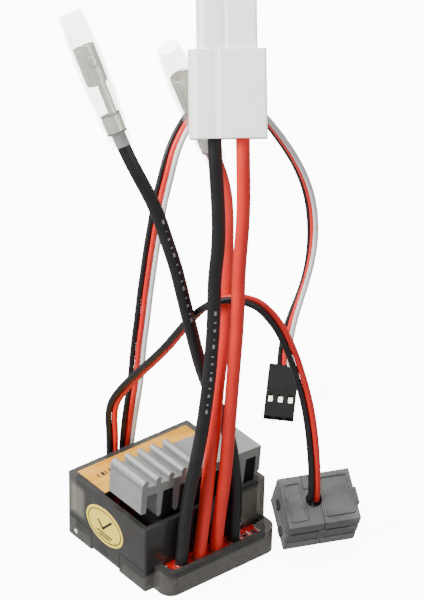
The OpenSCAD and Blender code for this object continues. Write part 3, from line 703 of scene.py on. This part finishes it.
switch_panels = switch_trim()
dress("switch_body", TIN, 0.15)
dress("switch_slider", BLACK_NYLON, 0.2)
dress("switch_terminals", TIN, 0.05)

# ---- housing and what is in it

dress("base_tray", SMOKE, 0.25)
dress("top_cover", COVER_SMOKE, 0.3)
dress("circuit_board", BOARD, 0.08)
dress("heatsink", ALUMINIUM, 0.22)
dress("power_transistors", EPOXY, 0.2)
dress("transistor_legs", TIN)
dress("smoothing_capacitors", CAPACITOR, 0.3)
dress("voltage_regulator", EPOXY, 0.15)
dress("microcontroller", EPOXY, 0.05)
dress("small_components", CERAMIC, 0.05)
dress("solder_joints", RED_TINTED_SOLDER, 0.15)

# sizes of the housing that its trim is placed by: the sides' distance from the middle, and heights
BODY_SIDE = 18
COVER_TOP = 17.6
BOARD_TOP = 5.5
JOINT_Z = 5.5
PRINT_T = 0.05


def groove_shade_strip():
    """A dark strip near the top edge of the heatsink's left plate: painted shade for its thin
    groove.
    """
    lean = math.radians(3.7)
    at = Matrix.Translation(Vector((-17.7, -10.8, 30.2)) * MM) @ Matrix.Rotation(lean, 4, "Y")
    verts, faces = box_data((-0.015, 0.25, -1.85), (0.2, 11.95, -1.68))
    piece("heatsink_groove_shade", verts, faces, GROOVE_SHADE, "aluminium", at)


groove_shade_strip()


def label():
    """The printed label: a thin sheet with a lifted, creased front left corner."""
    x0, x1, y0, y1 = -16.3, 16.3, 5.42, 16.35
    crease_x, crease_y = -12.6, 5.6
    nx, ny = 110, 40
    verts = []
    for j in range(ny + 1):
        for i in range(nx + 1):
            x, y = x0 + (x1 - x0) * i / nx, y0 + (y1 - y0) * j / ny
            near = math.exp(-(((x - crease_x) / 1.5) ** 2 + ((y - crease_y) / 1.4) ** 2))
            crease = 0.16 * near * (1 + 0.7 * math.sin(3.4 * x + 2.1 * y))
            ripple = 0.008 * math.sin(1.3 * x) * math.sin(0.9 * y + 0.6)
            verts.append((x, y, COVER_TOP + 0.07 + max(0, crease) + ripple))
    row = nx + 1
    corners = [j * row + i for j in range(ny) for i in range(nx)]
    faces = [(k, k + 1, k + row + 1, k + row) for k in corners]
    obj = piece("cover_label", verts, faces, LABEL, "label_gold", replaces=["top_label"])
    thick = obj.modifiers.new("thickness", "SOLIDIFY")
    thick.thickness = 0.06 * MM
    thick.offset = -1


label()


def seams():
    """The dark joint between base and cover, the tongues' outlines, and the base's ejector mark."""
    inner, outer = BODY_SIDE - 0.4, BODY_SIDE + 0.03
    low, high = JOINT_Z - 0.08, JOINT_Z + 0.08
    tongue_front, tongue_rear = -2.36, 8.76
    parts = []
    for side in (-1, 1):
        x0, x1 = sorted((side * inner, side * outer))
        parts.append(box_data((x0, -12.0, low), (x1, tongue_front - 0.04, high)))
        parts.append(box_data((x0, tongue_rear + 0.04, low), (x1, 17.6, high)))
        for y in (tongue_front, tongue_rear):
            parts.append(box_data((x0, y - 0.07, 0.1), (x1, y + 0.07, JOINT_Z)))
    parts.append(box_data((-inner, 17.6, low), (inner, 17.98, high)))
    parts.append(box_data((-inner, -12.38, low), (-15.6, -12.0, high)))
    piece("housing_seams", *joined(parts), JOINT_AND_SHADE, "smoke_plastic")
    at = (Matrix.Translation(Vector((-BODY_SIDE, 14.8, 1.8)) * MM)
        @ Matrix.Rotation(math.radians(-90), 4, "Y"))
    dot = lathed([(0.001, -0.1), (0.62, -0.1), (0.62, 0.02), (0.45, 0.07), (0.001, 0.07)], 24)
    piece("ejector_mark", *dot, WHITE_INK, "smoke_plastic", at)


seams()


def label_bars():
    """Plain bars where the label is printed."""
    parts = []
    z0, z1 = COVER_TOP + 0.05, COVER_TOP + 0.05 + PRINT_T
    for i, w in enumerate((0.35, 0.8, 0.35, 0.8, 0.55)):
        x = -13.6 + i * 1.15
        parts.append(box_data((x, 11.3, z0), (x + w, 12.7, z1)))
    for i, w in enumerate((0.5, 0.9)):
        x = -3.6 + i * 1.4
        parts.append(box_data((x, 8.6, z0), (x + w, 10.0, z1)))
    for i in range(3):
        parts.append(box_data((3.5, 8.4 + i * 1.5, z0), (10.5 - i * 1.6, 8.9 + i * 1.5, z1)))
    piece("label_print", *joined(parts), INK, "label_gold")


label_bars()


def sticker():
    """The oval sticker on the left side: a pale yellow disc, a thin ring and a check mark."""
    centre_y, centre_z = 3.3, 9.9
    half_l, half_h = 7.2, 4.95
    print_z = 0.08
    at = (Matrix.Translation(Vector((-BODY_SIDE, centre_y, centre_z)) * MM)
        @ Matrix.Rotation(math.radians(-90), 4, "Z") @ Matrix.Rotation(math.radians(90), 4, "X"))

    def oval(grow, n=72):
        angles = [2 * math.pi * i / n for i in range(n)]
        return [((half_l + grow) * math.cos(a), (half_h + grow) * math.sin(a)) for a in angles]

    verts, faces = extruded(oval(0), 0, 0.1)
    piece("side_sticker", verts, faces, STICKER, "label_yellow", at, bevel=0.04,
        replaces=["inspection_sticker"])
    ring = ring_data(oval(-0.75), oval(-1.02), print_z, print_z + 0.045)
    piece("sticker_ring", *ring, INK, "label_yellow", at)
    check_mark = stroke([(-2.3, 0.7), (-0.7, -1.0), (2.6, 2.3)], 0.6, PRINT_T)
    lines = joined([check_mark, stroke([(-2.8, -2.2), (2.8, -2.2)], 0.4, PRINT_T),
        stroke([(-1.9, -3.0), (1.9, -3.0)], 0.4, PRINT_T)])
    piece("sticker_mark", *moved(lines, z=print_z), INK, "label_yellow", at)


sticker()


def board_print():
    """White outlines, pad rings and solder on the part of the board that shows in the tray."""
    parts = []
    for x0, x1 in ((8.6, 11.0), (11.4, 13.8)):
        parts.append(stroke([(x0, -13.6), (x0, -16.2), (x1, -16.2), (x1, -13.6)], 0.16, PRINT_T))
    for x0, x1 in ((8.6, 9.6), (12.6, 13.8)):
        parts.append(stroke([(x0, -16.55), (x1, -16.55)], 0.14, PRINT_T))
    silkscreen = moved(joined(parts), z=BOARD_TOP)
    piece("board_silkscreen", *silkscreen, WHITE_INK, "board_red")
    pad = lathed([(0.48, -0.2), (0.48, 0.06), (0.86, 0.06), (0.86, 0.0)], 32)
    rings = [moved(pad, x, -14.9, BOARD_TOP) for x in (9.8, 12.6)]
    piece("spare_pads", *joined(rings), TIN, "tinned_metal")
    blobs = []
    for x, y, r in ((-12.4, -13.2, 0.35), (14.4, -12.9, 0.3), (3.9, -13.4, 0.2)):
        height = r * 0.7
        angles = [math.pi / 2 * i / 8 for i in range(8)]
        dome = [(r * math.cos(a), height * math.sin(a)) for a in angles]
        blob = lathed([(0.001, 0)] + dome + [(0.001, height)], 20)
        blobs.append(moved(blob, x, y, BOARD_TOP - 0.02))
    piece("solder_blobs", *joined(blobs), TIN, "tinned_metal")


board_print()

# ---- surroundings


def surroundings():
    """A white floor that doesn't light the object, a dim white world and three soft lights."""
    bpy.ops.mesh.primitive_plane_add(size=6, location=(0, 0, -0.0001))
    floor = bpy.context.object
    floor.name = "floor"
    n = Nodes("floor")
    n.link(n.ramp(n.noise(3, 2), [(0.3, (0.86, 0.86, 0.86)), (0.7, (0.9, 0.9, 0.9))]),
        n.shader.inputs["Base Color"])
    n.set(Roughness=0.8, Emission_Color=(1, 1, 1, 1), Emission_Strength=10)
    floor.data.materials.append(n.material)
    floor.visible_diffuse = False
    floor.visible_glossy = False
    world = bpy.data.worlds.new("studio")
    bpy.context.scene.world = world
    world.use_nodes = True
    world.node_tree.nodes["Background"].inputs["Color"].default_value = (1, 1, 1, 1)
    world.node_tree.nodes["Background"].inputs["Strength"].default_value = 0.42
    aim = Vector((0.01, 0, 0.05))
    lights = [
        ("key", (-0.85, 0.15, 0.6), 0.5, 19),
        ("top", (0.05, 0.15, 1.0), 0.6, 12),
        ("fill", (0.35, -0.95, 0.45), 0.5, 1.6),
    ]
    for name, at, size, power in lights:
        data = bpy.data.lights.new(name, "AREA")
        data.shape = "SQUARE"
        data.size = size
        data.energy = power
        lamp = bpy.data.objects.new(name, data)
        bpy.context.scene.collection.objects.link(lamp)
        lamp.location = at
        lamp.rotation_euler = (aim - lamp.location).to_track_quat("-Z", "Y").to_euler()


surroundings()
